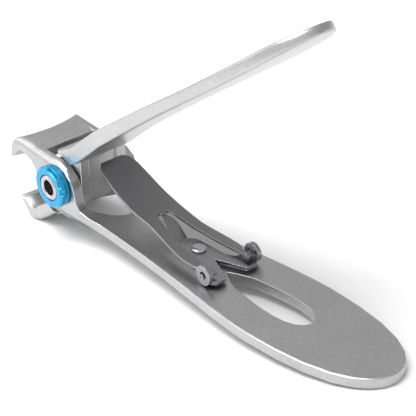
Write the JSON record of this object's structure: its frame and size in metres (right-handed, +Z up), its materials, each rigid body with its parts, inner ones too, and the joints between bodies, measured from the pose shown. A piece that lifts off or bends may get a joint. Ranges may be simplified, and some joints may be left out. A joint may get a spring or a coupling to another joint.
{
  "type": "wide-opening nail clipper",
  "caption": "Nail clipper made of two stamped levers that cross at a ringed hollow pivot, with curved jaws, long rounded handles and a flat return spring.",
  "frame": {"origin": "on the floor, under the middle of the clipper's bounding box", "axes": "+X from the jaws towards the handle tips, +Y towards the far side of the pivot, +Z up"},
  "size_m": [0.1146, 0.0242, 0.0699],
  "materials": {
    "lever_steel": "satin with polished edges",
    "spring_steel": "dark satin",
    "bracket_steel": "satin",
    "rivet_steel": "polished",
    "blue_anodised": "glossy blue anodised",
    "washer_nylon": "matte"
  },
  "bodies": {
    "outer_lever": {"outer_lever": "lever_steel", "near_pivot_ring": "blue_anodised", "far_pivot_ring": "blue_anodised", "near_pivot_rivet": "rivet_steel", "far_pivot_rivet": "rivet_steel", "near_washer": "washer_nylon", "far_washer": "washer_nylon", "hinge_bracket": "bracket_steel", "bracket_rivet": "rivet_steel", "spring_tongue": "spring_steel"},
    "inner_lever": {"inner_lever": "lever_steel"},
    "spring_plate": {"spring_plate": "spring_steel"}
  },
  "joints": [
    {"name": "lever_hinge", "type": "hinge", "parent": "outer_lever", "child": "inner_lever", "pos_m": [-0.03984, 0, 0.01301], "axis": [0, 1, 0], "range_deg": [0, 31], "stiffness_Nm_per_rad": 0.37, "springref_deg": -22.92},
    {"name": "spring_hinge", "type": "hinge", "parent": "outer_lever", "child": "spring_plate", "pos_m": [0.00834, 0, 0.00783], "axis": [0, 1, 0], "range_deg": [-9, 0], "deforming": ["spring_tongue"]}
  ],
  "couplings": [
    {"joint": "spring_hinge", "follows": "lever_hinge", "ratio": -0.28}
  ]
}
